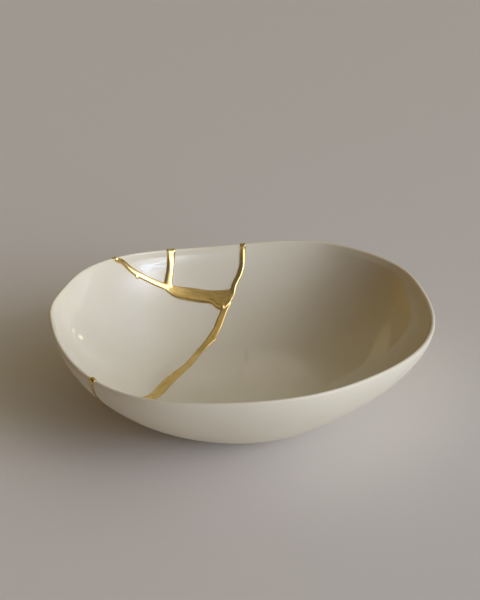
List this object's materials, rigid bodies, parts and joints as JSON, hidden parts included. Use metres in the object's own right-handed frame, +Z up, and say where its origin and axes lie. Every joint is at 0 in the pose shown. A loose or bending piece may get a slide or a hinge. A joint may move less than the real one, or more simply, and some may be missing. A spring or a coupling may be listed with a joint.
{
  "type": "kintsugi bowl",
  "caption": "Shallow hand-formed porcelain bowl with a wavy oval rim, broken and joined again with raised gold lacquer seams and a filled chip.",
  "frame": {"origin": "under the middle of the bowl's outline, on the surface that it stands on", "axes": "+Z up out of the mouth; +X along the widest measure of the mouth, with the gold on the -X side; +Y away from the side that the picture shows"},
  "size_m": [0.181, 0.1644, 0.0498],
  "materials": {
    "porcelain": "clear gloss glaze inside, smooth satin outside",
    "gold_lacquer": "polished gold over lacquer, brushed on the filled chip"
  },
  "bodies": {
    "root": {"sherd_main": "porcelain", "sherd_left": "porcelain", "sherd_rim_small": "porcelain", "sherd_rim_wide": "porcelain", "gold_seam": "gold_lacquer"}
  },
  "joints": []
}
